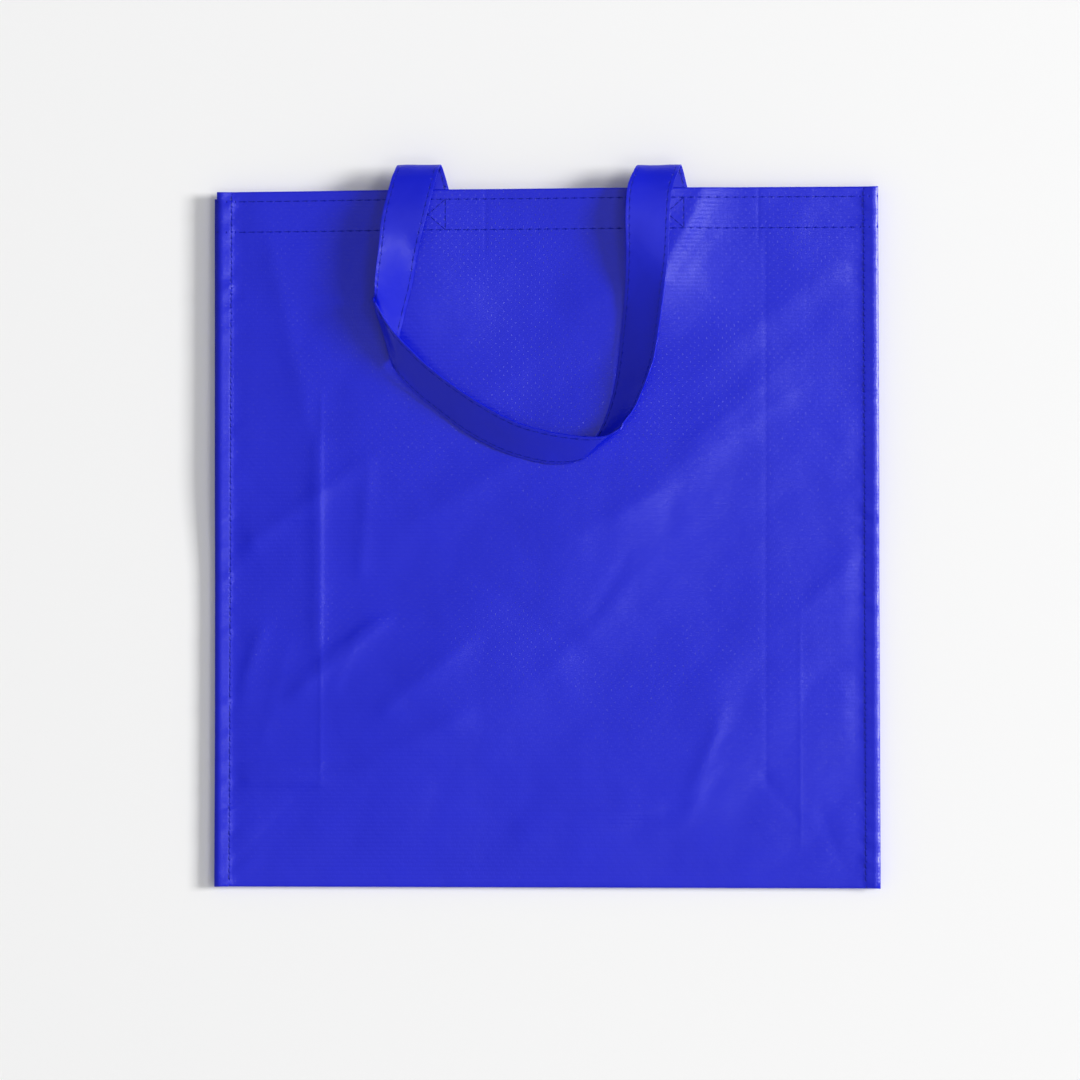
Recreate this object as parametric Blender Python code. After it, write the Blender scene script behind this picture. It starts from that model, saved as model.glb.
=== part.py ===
"""A plastic carrier bag of laminated woven polypropylene, lying flat and folded on its back.

The body sheet folds into the front, the bottom and the back. A gusset sheet closes each side and
folds inwards on its middle line, and its lower end turns up into a triangle so that the bottom
can fold inwards between the panels. The gussets' folds press thin ridges into the front, the
handle's roots lift the front into two broad ones, and the sewn side edges curl upwards. A strap, which is a strip of the same sheet folded and sewn to its
width, is sewn inside each hem: the front one arches over the mouth and lies in front of the bag
with a mitre fold at each lower corner, and the back one lies folded flat under the bag.

+Y points to the mouth, +X to the right and +Z up, away from the surface that the bag lies on.
"""

import math

import bmesh
import bpy
from mathutils import Vector

# Driving dimensions, in metres
bag_width = 0.400  # over the sewn edges
bag_height = 0.420  # from the bottom fold to the mouth
bottom_depth = 0.120  # of the opened bag, front to back
seam_lip = 0.010  # sewn edge, outside the seam
lip_rise = 0.0030  # of the sewn edge's outer rim above its seam
hem_depth = 0.025
sheet_thickness = 0.0003
layer_gap = 0.00035  # air between two layers that lie on each other
sewn_gap = 0.0003  # between a strap and what it is sewn to
middle_stack = 0.0104  # from the back's middle plane to the front's, where the bag is fullest
fullness_reach = 0.110  # from a seam to where the bag is fullest
crease_radius = 0.0007  # of the bottom's middle crease, and a layer less than a gusset's
corner_ease = 0.001  # the gusset's lower corner stays this far inside the bottom fold
wave_height = 0.0007  # of the soft waves in the front
wave_length = 0.150
root_rise = 0.0045  # of the front panel where it is lifted at a handle's root
root_ridge_width = 0.038  # from the lifted ridge's crest to its flank
root_ridge_shift = -0.016  # of the crest from the root's middle, as the handle leans left
root_ridge_reach = 0.110  # from the mouth down to where the ridge ends
ridge_height = 0.0005  # of the marks that the gussets' folds press into the front
ridge_reach = 0.0030  # from a mark's crest to its foot
strap_width = 0.025
strap_thickness = 0.001
handle_spacing = 0.144  # between the middles of a handle's two roots
front_loop_reach = 0.165  # from the mouth down to the front loop's lowest edge
back_loop_reach = 0.139  # from the mouth down to the middle of the back loop's cross run
back_rise_reach = 0.080  # over which the back panel rises onto the back handle
back_bend_rise = 0.009  # of the back handle above the mouth
handle_rise = 0.0135  # of the front handle's middle plane above the mouth

# Sizes that follow from them
pitch = sheet_thickness + layer_gap
seam_x = bag_width / 2 - seam_lip
gusset_half = bottom_depth / 2
folded_layers = 8
edge_stack = (folded_layers - 1) * pitch + crease_radius
bottom_fold_radius = 1.5 * pitch
turn_radius = pitch / 2
crease_y = gusset_half + corner_ease - pitch - layer_gap
inner_fold_radius = crease_radius + pitch
strap_layer = strap_thickness + layer_gap
back_lift = 2 * strap_layer + sewn_gap
lift_end = bag_height - back_loop_reach - strap_width
lift_start = lift_end - back_rise_reach
total_length = bag_height + handle_rise + strap_thickness / 2
bend_turns = (0, 60, 120, 180)


def clear_scene():
    for old in list(bpy.data.objects):
        bpy.data.objects.remove(old, do_unlink=True)


def plastic(name, colour, roughness):
    """A Principled material with one colour, given as linear red, green and blue."""
    material = bpy.data.materials.new(name)
    material.use_nodes = True
    shader = material.node_tree.nodes["Principled BSDF"]
    shader.inputs["Base Color"].default_value = (*colour, 1)
    shader.inputs["Roughness"].default_value = roughness
    shader.inputs["Metallic"].default_value = 0
    material.diffuse_color = (*colour, 1)
    return material


def ease(start, end, value):
    """0 before start and 1 after end, with a smooth rise between them."""
    share = min(max((value - start) / (end - start), 0), 1)
    return share * share * (3 - 2 * share)


# How the bag lies

def back_level(x, y):
    """Height of the back panel's middle plane, raised by the back handle and at the sewn edges."""
    lip = lip_rise * max(0, abs(x) - seam_x) / seam_lip
    return sheet_thickness / 2 + back_lift * ease(lift_start, lift_end, y) + lip


def stack(x, y):
    """Height of the front panel's middle plane above the back panel's."""
    full = ease(0, fullness_reach, seam_x - abs(x)) * ease(0, fullness_reach, y)
    first = math.sin(2 * math.pi * (0.8 * x + 0.6 * y) / wave_length)
    second = math.sin(2 * math.pi * (0.5 * x - 0.9 * y) / (1.3 * wave_length) + 1)
    return edge_stack + full * (middle_stack - edge_stack + wave_height * (first + second))


def root_ridges(x, y):
    """How far the front panel is lifted in a ridge below each root of the front handle."""
    across = 0
    for side in (-1, 1):
        away = x - side * handle_spacing / 2 - root_ridge_shift
        across += math.exp(-((away / root_ridge_width) ** 2))
    full_from = bag_height - root_ridge_reach / 2
    inside = ease(0, fullness_reach / 2, seam_x - abs(x))
    return root_rise * across * inside * ease(bag_height - root_ridge_reach, full_from, y)


def front_level(x, y):
    return back_level(x, y) + stack(x, y) + root_ridges(x, y)


def fold_ridge(x, y):
    """Height of the mark over a gusset: up its middle fold, and out along its corner's diagonal."""
    rise = y - corner_ease
    distance = abs(seam_x - abs(x) - min(rise, gusset_half))
    if rise < gusset_half:
        distance /= math.sqrt(2)
    inside = ease(0, gusset_half / 2, y) * (1 - ease(2 * hem_depth, hem_depth, bag_height - y))
    return ridge_height * inside * max(0, 1 - distance / ridge_reach)


def gusset_pitch(y):
    """From a panel to its gusset layer: one layer apart, and three where both hems lie between them."""
    hem_start = bag_height - hem_depth
    return pitch * (1 + 2 * ease(hem_start - 2 * hem_depth, hem_start - 2 * pitch, y))


def turned(distance, radius):
    """Folds a sheet at a crease.

    distance is measured along the flat sheet and is positive before the crease. Returns how far
    the point then lies from the crease, and its share of the way from the first layer to the
    second.
    """
    if abs(distance) >= radius:
        return abs(distance), 0 if distance > 0 else 1
    angle = math.pi / 2 * (1 - distance / radius)
    return radius * (1 - math.sin(angle)), (1 - math.cos(angle)) / 2


def fold_lines(crease, radius):
    """Where a flat sheet is scored so that its fold comes out round."""
    return [crease + radius * (1 - angle / 90) for angle in bend_turns]


def spaced(start, end, longest):
    count = max(1, math.ceil((end - start) / longest))
    return [start + (end - start) * i / count for i in range(1, count)]


def sheet_mesh(low, high, across, along):
    """A flat sheet from low to high, scored along the given x and y lines."""
    mesh = bmesh.new()
    bmesh.ops.create_grid(mesh, x_segments=1, y_segments=1, size=0.5)
    for vert in mesh.verts:
        vert.co.x = low[0] if vert.co.x < 0 else high[0]
        vert.co.y = low[1] if vert.co.y < 0 else high[1]
    for x in across:
        score(mesh, mesh.faces[:], (x, 0, 0), (1, 0, 0))
    for y in along:
        score(mesh, mesh.faces[:], (0, y, 0), (0, 1, 0))
    return mesh


def score(mesh, faces, point, normal):
    parts = set(faces)
    for face in faces:
        parts.update(face.edges)
        parts.update(face.verts)
    bmesh.ops.bisect_plane(mesh, geom=list(parts), dist=1e-7, plane_co=point, plane_no=normal)


def finish_sheet(name, mesh, thickness, material, parent):
    """Makes the object and gives the sheet its thickness, half on each side."""
    data = bpy.data.meshes.new(name)
    bmesh.ops.recalc_face_normals(mesh, faces=mesh.faces[:])
    mesh.to_mesh(data)
    mesh.free()
    data.materials.append(material)
    data.shade_smooth()
    made = bpy.data.objects.new(name, data)
    bpy.context.scene.collection.objects.link(made)
    made.parent = parent
    wall = made.modifiers.new("Thickness", "SOLIDIFY")
    wall.thickness = thickness
    wall.offset = 0
    return made


# Body sheet: front, bottom, back and both hems

side_lines = spaced(0, gusset_half - inner_fold_radius, 0.020)
height_lines = spaced(0, bag_height - hem_depth - 2 * pitch, 0.031)


def body_place(x, along):
    """Place of a point of the flat body sheet; along is 0 on the bottom's middle crease."""
    front = along > 0
    run = abs(along)
    mouth = crease_y + bag_height
    if run < crease_y / 2:
        # The crease between the two halves of the bottom, which opens downwards
        away, share = turned(along, crease_radius)
        y = crease_y - away
        upper = front_level(x, y) - 3 * pitch
        lower = back_level(x, y) + 3 * pitch
        return Vector((x, y, upper + (lower - upper) * share))
    if run < (crease_y + mouth) / 2:
        y, share = turned(run - crease_y, bottom_fold_radius)
        inward = 3 * pitch * share
    else:
        away, share = turned(mouth - run, turn_radius)
        y = bag_height - away
        inward = pitch * share
    if front:
        return Vector((x, y, front_level(x, y) + fold_ridge(x, y) - inward))
    return Vector((x, y, back_level(x, y) + inward))


def front_corner(mesh, side, middle_edge):
    """The flat body sheet's faces in a lower corner of the front, from its fold up."""
    found = []
    for face in mesh.faces:
        middle = face.calc_center_median()
        y = middle.y - crease_y
        if middle_edge < side * middle.x < seam_x and bottom_fold_radius < y < 1.5 * gusset_half:
            found.append(face)
    return found


def body_sheet(material, parent):
    mouth = crease_y + bag_height
    end = mouth + hem_depth
    across = [-seam_x, seam_x]
    middle_edge = seam_x - gusset_half
    for side in (-1, 1):
        across += [side * (seam_x - line) for line in side_lines]
        across += [side * (middle_edge + inner_fold_radius), side * middle_edge]
        across += [side * (middle_edge + ridge_reach), side * (middle_edge - ridge_reach)]
    # Between the folds' marks, with a line at each edge and middle of the handles' roots
    stops = [-middle_edge + ridge_reach, middle_edge - ridge_reach]
    for side in (-1, 1):
        for edge in (-strap_width, 0, strap_width):
            stops.append((side * handle_spacing + edge) / 2)
    stops.sort()
    across += stops[1:-1]
    for left, right in zip(stops, stops[1:]):
        across += spaced(left, right, 0.017)
    along = fold_lines(0, crease_radius)
    for side in (-1, 1):
        along += [side * line for line in fold_lines(crease_y, bottom_fold_radius)]
        along += [side * line for line in fold_lines(mouth, turn_radius)]
        along += [side * (crease_y + line) for line in height_lines]
        along += [side * (mouth - hem_depth - 2 * pitch), side * crease_y / 2]
    mesh = sheet_mesh((-bag_width / 2, -end), (bag_width / 2, end), across, along)
    for side in (-1, 1):
        for shift in (-ridge_reach, 0, ridge_reach):
            foot = crease_y + corner_ease + shift * math.sqrt(2)
            corner = front_corner(mesh, side, middle_edge - ridge_reach)
            score(mesh, corner, (side * seam_x, foot, 0), (side, 1, 0))
    for vert in mesh.verts:
        vert.co = body_place(vert.co.x, vert.co.y)
    return finish_sheet("body_panel", mesh, sheet_thickness, material, parent)


# Gusset sheets

def gusset_half_place(side, front, inward, along):
    """Place on one half of a gusset, inward from its seam, before its middle fold.

    Above the corner's diagonal the sheet lies against its panel, and below it the sheet is
    turned over into the triangle.
    """
    y = along
    across = inward
    level = 0
    if along > bag_height - hem_depth:
        away, share = turned(bag_height - along, turn_radius)
        y = bag_height - away
        level = -share
    else:
        offset = (along - corner_ease - inward) / math.sqrt(2)
        away, share = turned(offset, turn_radius)
        centre = (inward + along - corner_ease) / 2
        across = centre - away / math.sqrt(2)
        y = centre + corner_ease + away / math.sqrt(2)
        level = share
    x = side * (seam_x - across)
    drop = gusset_pitch(y) + pitch * level
    if front:
        return across, y, front_level(x, y) - drop
    return across, y, back_level(x, y) + drop


def gusset_place(side, across, along):
    """Place of a point of the flat gusset; across is 0 on its middle fold, positive to the front."""
    front = across > 0
    inward = gusset_half - max(abs(across), inner_fold_radius)
    from_seam, y, upper = gusset_half_place(side, True, inward, along)
    lower = gusset_half_place(side, False, inward, along)[2]
    if abs(across) >= inner_fold_radius:
        return Vector((side * (seam_x - from_seam), y, upper if front else lower))
    # The middle fold bulges inwards above the corner and upwards along the triangle's top
    angle = math.pi / 2 * (1 - across / inner_fold_radius)
    turn = ease(turn_radius, -turn_radius, (along - corner_ease - inward) / math.sqrt(2))
    in_hem = turned(bag_height - along, turn_radius)[1]
    bulge = (inner_fold_radius + pitch * in_hem) * math.sin(angle)
    from_seam += bulge * math.cos(turn * math.pi / 2)
    y += bulge * math.sin(turn * math.pi / 2)
    level = (upper + lower) / 2 + (upper - lower) / 2 * math.cos(angle)
    return Vector((side * (seam_x - from_seam), y, level))


def gusset_sheet(name, side, material, parent):
    edge = gusset_half + seam_lip
    across = [-gusset_half, 0, gusset_half] + fold_lines(0, inner_fold_radius)
    for half in (-1, 1):
        across += [half * (gusset_half - line) for line in side_lines]
    along = [corner_ease] + [corner_ease + line for line in side_lines]
    along += [gusset_half + 4 * inner_fold_radius]
    along += [line for line in height_lines if line > gusset_half + 6 * inner_fold_radius]
    along += [bag_height - hem_depth - 2 * pitch] + fold_lines(bag_height, turn_radius)
    low = (-edge, corner_ease - seam_lip)
    high = (edge, bag_height + hem_depth)
    mesh = sheet_mesh(low, high, across, along)
    corner_top = gusset_half + 4 * inner_fold_radius
    for half in (-1, 1):
        for shift in fold_lines(0, turn_radius):
            corner = [
                face
                for face in mesh.faces
                if face.calc_center_median().y < corner_top
                and half * face.calc_center_median().x > 0
            ]
            # On this half the diagonal runs from the seam's foot to the middle line
            point = (half * gusset_half, corner_ease + shift * math.sqrt(2), 0)
            score(mesh, corner, point, (half, 1, 0))
    notch = [
        face
        for face in mesh.faces
        if face.calc_center_median().y < corner_ease
        and abs(face.calc_center_median().x) > gusset_half
    ]
    bmesh.ops.delete(mesh, geom=notch, context="FACES")
    for vert in mesh.verts:
        vert.co = gusset_place(side, vert.co.x, vert.co.y)
    return finish_sheet(name, mesh, sheet_thickness, material, parent)


# Handles. Each is a ribbon through sections, and a section is the strap's two edge points

def ribbon(name, sections, material, parent):
    """A strap through its sections. Each section is stretched about its middle to the strap's width."""
    mesh = bmesh.new()
    bmesh.ops.create_grid(mesh, x_segments=2, y_segments=len(sections) - 1, size=1)
    rows = len(sections) - 1
    for vert in mesh.verts:
        first, second = sections[round((vert.co.y + 1) / 2 * rows)]
        share = (vert.co.x + 1) / 2
        vert.co = first.lerp(second, share)
    return finish_sheet(name, mesh, strap_thickness, material, parent)


def curve_through(points, steps):
    """Points on a smooth curve through the given ones."""
    found = []
    for i in range(len(points) - 1):
        before = points[max(i - 1, 0)]
        start, end = points[i], points[i + 1]
        after = points[min(i + 2, len(points) - 1)]
        for step in range(steps):
            t = step / steps
            leave, arrive = (end - before) / 2, (after - start) / 2
            found.append(
                start * (2 * t**3 - 3 * t**2 + 1)
                + leave * (t**3 - 2 * t**2 + t)
                + end * (3 * t**2 - 2 * t**3)
                + arrive * (t**3 - t**2)
            )
    return found + [points[-1]]


# The front handle's route, in mm: each row has the outer edge's point, then the inner edge's,
# as x from the bag's middle, y above the mouth, and z above the front panel
drawn_strap_width = 25
drawn_spacing = 144
drawn_reach = 165
drawn_rise = 13.5
left_bend = (
    ((-89, 13.5, 4.5), (-63.5, 13.5, 4.5)),
    ((-92, 9, 11), (-66, 9, 11)),
    ((-94.5, 1, 15), (-68, 0, 15)),
    ((-99, -18, 18), (-73, -20, 17.5)),
    ((-101, -36, 19), (-78, -40, 12)),
    ((-103, -52, 18), (-81, -57, 8)),
    ((-103.5, -61, 16.5), (-86, -76, 5)),
    ((-103.5, -65, 13.5), (-92, -102, 2.5)),
)
loop = (
    ((-102.5, -69, 18.5), (-91.5, -108, 5.5)),
    ((-93.5, -84, 18.5), (-86.5, -115, 5)),
    ((-79.5, -99.5, 18), (-79, -123, 3)),
    ((-64, -113, 17.5), (-68, -132, 2)),
    ((-41, -128.5, 17.5), (-49, -146, 1.5)),
    ((-19.5, -140, 17), (-26, -158, 1.5)),
    ((1, -146, 17), (-5.5, -164, 1.5)),
    ((20, -149, 16.5), (8, -165, 2)),
    ((34.5, -149, 16.5), (16.5, -164, 3)),
    ((43, -144.5, 16), (20.5, -162.5, 5)),
)
right_bend = (
    ((46.5, -138.5, 10.5), (23.5, -157, 2.5)),
    ((52, -132, 12), (30, -148, 2)),
    ((56.5, -122, 15), (35.5, -135.5, 2)),
    ((60, -113, 17.5), (40, -120, 2)),
    ((64, -100, 17), (43, -100.5, 3)),
    ((67, -80.5, 17), (45, -80, 5)),
    ((69.5, -62, 18), (46.5, -61, 9)),
    ((72, -40, 19), (47, -38, 15)),
    ((73, -20, 18), (46.5, -18, 18)),
    ((74.5, -1, 15), (47.5, -1, 15)),
    ((78, 9, 11), (51, 9, 11)),
    ((80.5, 13.5, 4.5), (55, 13.5, 4.5)),
)


def drawn_point(point):
    """A route point in metres, spread with the roots, the loop's reach and the rise of the bends."""
    x, y, z = point
    reach = front_loop_reach / drawn_reach
    y *= reach if y < 0 else handle_rise / drawn_rise
    place = Vector((x * handle_spacing / drawn_spacing, y, z * reach))
    place.y += bag_height
    foot_y = min(place.y, bag_height)
    place.z += back_level(place.x, foot_y) + stack(place.x, foot_y) + sheet_thickness / 2
    return place


def sized(first, second):
    """A section stretched about its middle to the strap's width."""
    middle = (first + second) / 2
    drawn = handle_spacing / drawn_spacing * drawn_strap_width
    half = (first - second) / 2 * (strap_width / drawn)
    return middle + half, middle - half


def half_turn(start, end, outward):
    """Sections of the bend between two strap layers that share a mitre fold."""
    found = []
    for angle in bend_turns[1:-1]:
        turn = math.radians(angle)
        section = []
        for near, far in zip(start, end):
            middle, half = (near + far) / 2, (near - far) / 2
            section.append(middle + half * math.cos(turn) + outward * math.sin(turn))
        found.append(tuple(section))
    return found


def root_sections(side, front):
    """The sewn end of a strap, from the hem's edge up to the mouth."""
    x = side * handle_spacing / 2
    outer, inner = x + side * strap_width / 2, x - side * strap_width / 2
    inset = pitch + sheet_thickness / 2 + sewn_gap + strap_thickness / 2
    found = []
    for y in (bag_height - hem_depth, bag_height - hem_depth / 2, bag_height):
        section = []
        for edge in (outer, inner):
            level = front_level(edge, y) - inset if front else back_level(edge, y) + inset
            section.append(Vector((edge, y, level)))
        found.append(tuple(section))
    return found


def smooth_run(rows, steps):
    first = curve_through([row[0] for row in rows], steps)
    second = curve_through([row[1] for row in rows], steps)
    return list(zip(first, second))


def front_handle(material, parent):
    runs = []
    for rows in (left_bend, loop, right_bend):
        runs.append([sized(drawn_point(row[0]), drawn_point(row[1])) for row in rows])
    left, middle, right = runs
    left_root = root_sections(-1, True)
    right_root = root_sections(1, True)[::-1]
    bend = strap_thickness
    sections = left_root[:-1] + smooth_run(left_root[-1:] + left, 3)
    sections += half_turn(left[-1], middle[0], Vector((-bend, -bend / 2, 0)))
    sections += smooth_run(middle, 3)
    sections += half_turn(middle[-1], right[0], Vector((bend, -bend / 2, 0)))
    sections += smooth_run(right + right_root[:1], 3) + right_root[1:]
    return ribbon("front_handle", sections, material, parent)


def back_handle(material, parent):
    """The back handle: down the back from each bend, with a mitre fold into the cross run."""
    lower = strap_thickness / 2
    upper = lower + strap_layer
    cross_y = bag_height - back_loop_reach
    half = strap_width / 2
    left = root_sections(-1, False)
    outer, inner = left[-1][0].x, left[-1][1].x
    inside = left[-1][0].z
    for angle in bend_turns[1:-1]:
        turn = math.radians(angle)
        y = bag_height + back_bend_rise * math.sin(turn)
        level = (inside + lower) / 2 + (inside - lower) / 2 * math.cos(turn)
        left.append((Vector((outer, y, level)), Vector((inner, y, level))))
    left.append((Vector((outer, bag_height, lower)), Vector((inner, bag_height, lower))))
    top = cross_y + half
    left.append((Vector((outer, top + half, upper)), Vector((inner, top + half, upper))))
    fold = (Vector((outer, top, upper)), Vector((inner, cross_y - half, upper)))
    under = tuple(Vector((point.x, point.y, lower)) for point in fold)
    left.append(fold)
    left += half_turn(fold, under, Vector((-strap_layer, -strap_layer, 0)) / math.sqrt(8))
    left.append(under)
    left.append((Vector((inner + half, top, lower)), Vector((inner + half, cross_y - half, lower))))
    right = [tuple(Vector((-p.x, p.y, p.z)) for p in section) for section in reversed(left)]
    return ribbon("back_handle", left + right, material, parent)


def main():
    clear_scene()
    frame = bpy.data.objects.new("bag_frame", None)
    frame.location = (0, -total_length / 2, 0)
    bpy.context.scene.collection.objects.link(frame)
    sheet = plastic("laminated woven sheet", (0.032, 0.036, 0.645), 0.3)
    strap = plastic("sewn strip of laminated sheet", (0.036, 0.038, 0.665), 0.3)
    body_sheet(sheet, frame)
    gusset_sheet("left_gusset", -1, sheet, frame)
    gusset_sheet("right_gusset", 1, sheet, frame)
    front_handle(strap, frame)
    back_handle(strap, frame)


main()
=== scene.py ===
# %% [markdown]
# # A folded plastic carrier bag
#
# The fixed frame holds the bag's sheets and straps as plain folded solids. This script puts finer
# pieces in their places: the same folds with creases, billows and puckered edges in them, the
# woven tapes under a glossy film, and every row of stitches.
#
# The new pieces have to stay on the solids' own levels. So we start by loading the frame.

# %% Load the fixed frame
import math

import bmesh
import bpy
from mathutils import Matrix, Vector, noise


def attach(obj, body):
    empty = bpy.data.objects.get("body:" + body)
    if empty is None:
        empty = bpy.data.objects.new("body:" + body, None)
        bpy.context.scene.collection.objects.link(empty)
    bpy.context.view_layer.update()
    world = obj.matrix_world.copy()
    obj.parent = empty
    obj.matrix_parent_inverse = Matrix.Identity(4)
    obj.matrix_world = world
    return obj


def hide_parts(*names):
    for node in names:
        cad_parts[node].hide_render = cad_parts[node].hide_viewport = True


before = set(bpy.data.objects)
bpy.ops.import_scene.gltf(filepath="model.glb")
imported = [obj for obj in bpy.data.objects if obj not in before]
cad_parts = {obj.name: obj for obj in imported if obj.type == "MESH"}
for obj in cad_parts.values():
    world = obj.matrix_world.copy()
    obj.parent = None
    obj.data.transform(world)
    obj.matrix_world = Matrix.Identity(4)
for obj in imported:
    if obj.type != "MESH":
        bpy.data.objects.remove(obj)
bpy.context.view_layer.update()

# %% [markdown]
# ## Sizes
#
# All lengths are in metres, and they are the same as the fixed solids', so that each finer piece
# lies where its solid lies. The bag is cut from flat sheet, so its few sizes are those of the
# pattern: the panels, the side walls, the hems and the strips of the handles.

# %% Sizes of the bag
bag_width = 0.400
bag_height = 0.420
bottom_depth = 0.120
seam_lip = 0.010
hem_depth = 0.025
sheet_thickness = 0.0003
layer_gap = 0.00035
crease_radius = 0.0007
corner_ease = 0.001
strap_width = 0.025
strap_thickness = 0.001
handle_spacing = 0.144
handle_rise = 0.0135
print("The folded bag is", bag_width, "by", bag_height, "m")

# %% [markdown]
# A folded bag is a stack of layers, so most other lengths follow from the pitch of two layers,
# which is the sheet's thickness and a small gap. The bottom folds inwards. Its two halves lie three
# pitches inside the panels, with one pitch and the crease's radius between them.

# %% Sizes that follow from them
pitch = sheet_thickness + layer_gap
edge_stack = 7 * pitch + crease_radius
turn_radius = pitch / 2
bottom_fold_radius = 1.5 * pitch
inner_fold_radius = crease_radius + pitch
seam_x = bag_width / 2 - seam_lip
gusset_half = bottom_depth / 2
crease_y = gusset_half + corner_ease - pitch - layer_gap
# The front's mouth on the pattern, measured along the sheet from the bottom's middle crease.
mouth = crease_y + bag_height
# From the bottom to the top of the handles' bends. The frame's origin is in its middle.
total_length = bag_height + handle_rise + strap_thickness / 2
print("The bag's panels lie", round(edge_stack * 1000, 2), "mm apart at its edges")

# %% [markdown]
# Thread goes round the mouth in two rows, down each side in one, and along both edges of a handle.
# The lower row lies just inside the hem's edge, because it has to hold the hem down.

# %% Places and lengths of the stitches
hem_rows = (0.0058, 0.0242)
seam_row = 0.0012
strap_row_inset = 0.0021
long_stitch = 0.0054
seam_stitch = 0.0038
box_stitch = 0.0042
print("A hem stitch is", long_stitch * 1000, "mm long and a seam stitch", seam_stitch * 1000, "mm")

# %% [markdown]
# ## How the front lies
#
# The front panel isn't flat. Air under it lifts long soft billows, old folds leave thin creases,
# and the sewn side edges curl up and pucker. A cloth simulation could find such forms, but not at
# chosen places, and thin layers that lie this close soon pass through each other. So the forms are
# listed. Each billow is a row of numbers in millimetres: the two ends of its crest, its height and
# its width. The same goes for each crease. A height below zero is a valley.

# %% Billows and creases of the front panel
billows = (
    ((96, 424), (66, 362), 1.5, 9),
    ((26, 352), (62, 362), 0.8, 9),
    ((58, 236), (124, 296), 1.0, 16),
    ((96, 262), (140, 292), 0.7, 10),
    ((-146, 122), (-104, 156), 1.5, 8),
    ((-92, 112), (-56, 142), 1.1, 10),
    ((-100, 80), (-58, 100), 0.8, 10),
    ((-28, 176), (26, 138), -0.6, 13),
    ((10, 140), (44, 176), 0.6, 11),
    ((88, 54), (102, 98), 0.8, 8),
    ((60, 40), (92, 58), -0.5, 10),
    ((150, 164), (186, 198), 0.7, 10),
    ((-10, 38), (62, 46), 0.6, 7),
    ((-190, 66), (-140, 64), 1.1, 7),
    ((-192, 98), (-174, 150), 1.1, 6),
    ((-70, 226), (-8, 264), 1.0, 13),
    ((-166, 380), (-146, 290), 0.9, 10),
    ((-139, 262), (-139, 150), 1.1, 7),
    ((-108, 250), (-112, 196), 0.7, 6),
    ((-36, 296), (12, 334), 0.5, 16),
    ((112, 326), (164, 364), 0.6, 14),
    ((-176, 210), (-120, 250), 1.2, 9),
    ((20, 214), (70, 240), 0.6, 10),
)
creases = (
    ((-136.5, 290), (-136.5, 72), 0.26, 1.7),
    ((131.5, 395), (131.5, 66), -0.15, 2.2),
    ((152, 150), (152, 30), 0.12, 1.1),
    ((-186, 75), (-135, 75), 0.26, 1.5),
    ((-136, 136), (-108, 158), 0.55, 2.6),
    ((-128, 120), (-116, 148), 0.40, 2.4),
    ((-86, 92), (-60, 96), 0.22, 2.8),
    ((-84, 84), (-56, 82), 0.16, 2.8),
    ((84, 58), (100, 90), 0.35, 2.6),
    ((94, 60), (108, 84), 0.25, 2.4),
    ((28, 164), (46, 196), -0.35, 2.6),
    ((86, 396), (104, 424), 0.45, 3.0),
    ((78, 362), (100, 392), 0.40, 3.0),
    ((92, 286), (116, 296), 0.30, 2.6),
    ((84, 268), (108, 284), 0.30, 2.6),
    ((-176, 118), (-150, 128), 0.40, 2.4),
    ((-170, 92), (-158, 140), 0.35, 2.4),
    ((-135, 70), (-186, 16), -0.30, 2.4),
    ((131, 66), (148, 44), -0.35, 2.2),
    ((165, 44), (177, 15), -0.30, 2.2),
    ((-151, 222), (-40, 222), 0.14, 1.1),
    ((-3, 48), (56, 48), 0.14, 1.1),
    ((-37.5, 419), (-37.5, 388), -0.16, 1.0),
    ((127.5, 419), (127.5, 396), -0.16, 1.0),
)
print(len(billows), "billows and", len(creases), "creases")

# %% [markdown]
# ### Ridges
#
# A ridge falls away on both sides of its crest and past its ends. A billow is round at the top, and
# a crease in stiff film is sharp, so the two get different profiles.

# %% Height of the listed ridges

def ease(start, end, value):
    """0 before start and 1 after end, with a smooth rise between them."""
    share = min(max((value - start) / (end - start), 0), 1)
    return share * share * (3 - 2 * share)


def from_line(first, second, x, y):
    """How far a point lies from a line's nearest point, and how far past the line's ends."""
    along = Vector(second) - Vector(first)
    reach = Vector((x, y)) - Vector(first)
    share = reach.dot(along) / along.length_squared
    beyond = max(-share, share - 1, 0) * along.length
    across = (reach.x * along.y - reach.y * along.x) / along.length
    return across, beyond


def ridge_height(ridges, x, y, sharp):
    """Height in metres of all ridges at a point in millimetres."""
    height = 0
    for first, second, rise, width in ridges:
        across, beyond = from_line(first, second, x, y)
        if abs(across) > 3.5 * width or beyond > 40:
            continue
        if sharp:
            profile = math.exp(-abs(across) / width)
        else:
            profile = math.exp(0.3 - math.sqrt((across / width * 1.4) ** 2 + 0.09))
        height += rise * profile * math.exp(-((beyond / (8 if sharp else 1.5 * width)) ** 2))
    return height * 0.001


on_crest = ridge_height(billows, 44, 357, False)
print("On the second billow the front is", round(on_crest * 1000, 2), "mm higher")

# %% [markdown]
# ### Puckers and crumples
#
# The thread pulls the sheet together a little at each stitch, so a sewn edge puckers in short
# irregular waves. What is too small to list comes from noise, which has no pattern the eye could
# catch: soft swells, the faceted crumples of a stiff film, and a fine unevenness.

# %% Small waves of the front
lip_rise = 0.0030
pucker_length = 0.0068


def pucker(y, seed):
    """Irregular waves of a sewn edge, which stay between about -1 and 1."""
    place = Vector((y / pucker_length, seed, 0))
    return noise.noise(place) + 0.6 * noise.noise(place * 2.3)


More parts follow.
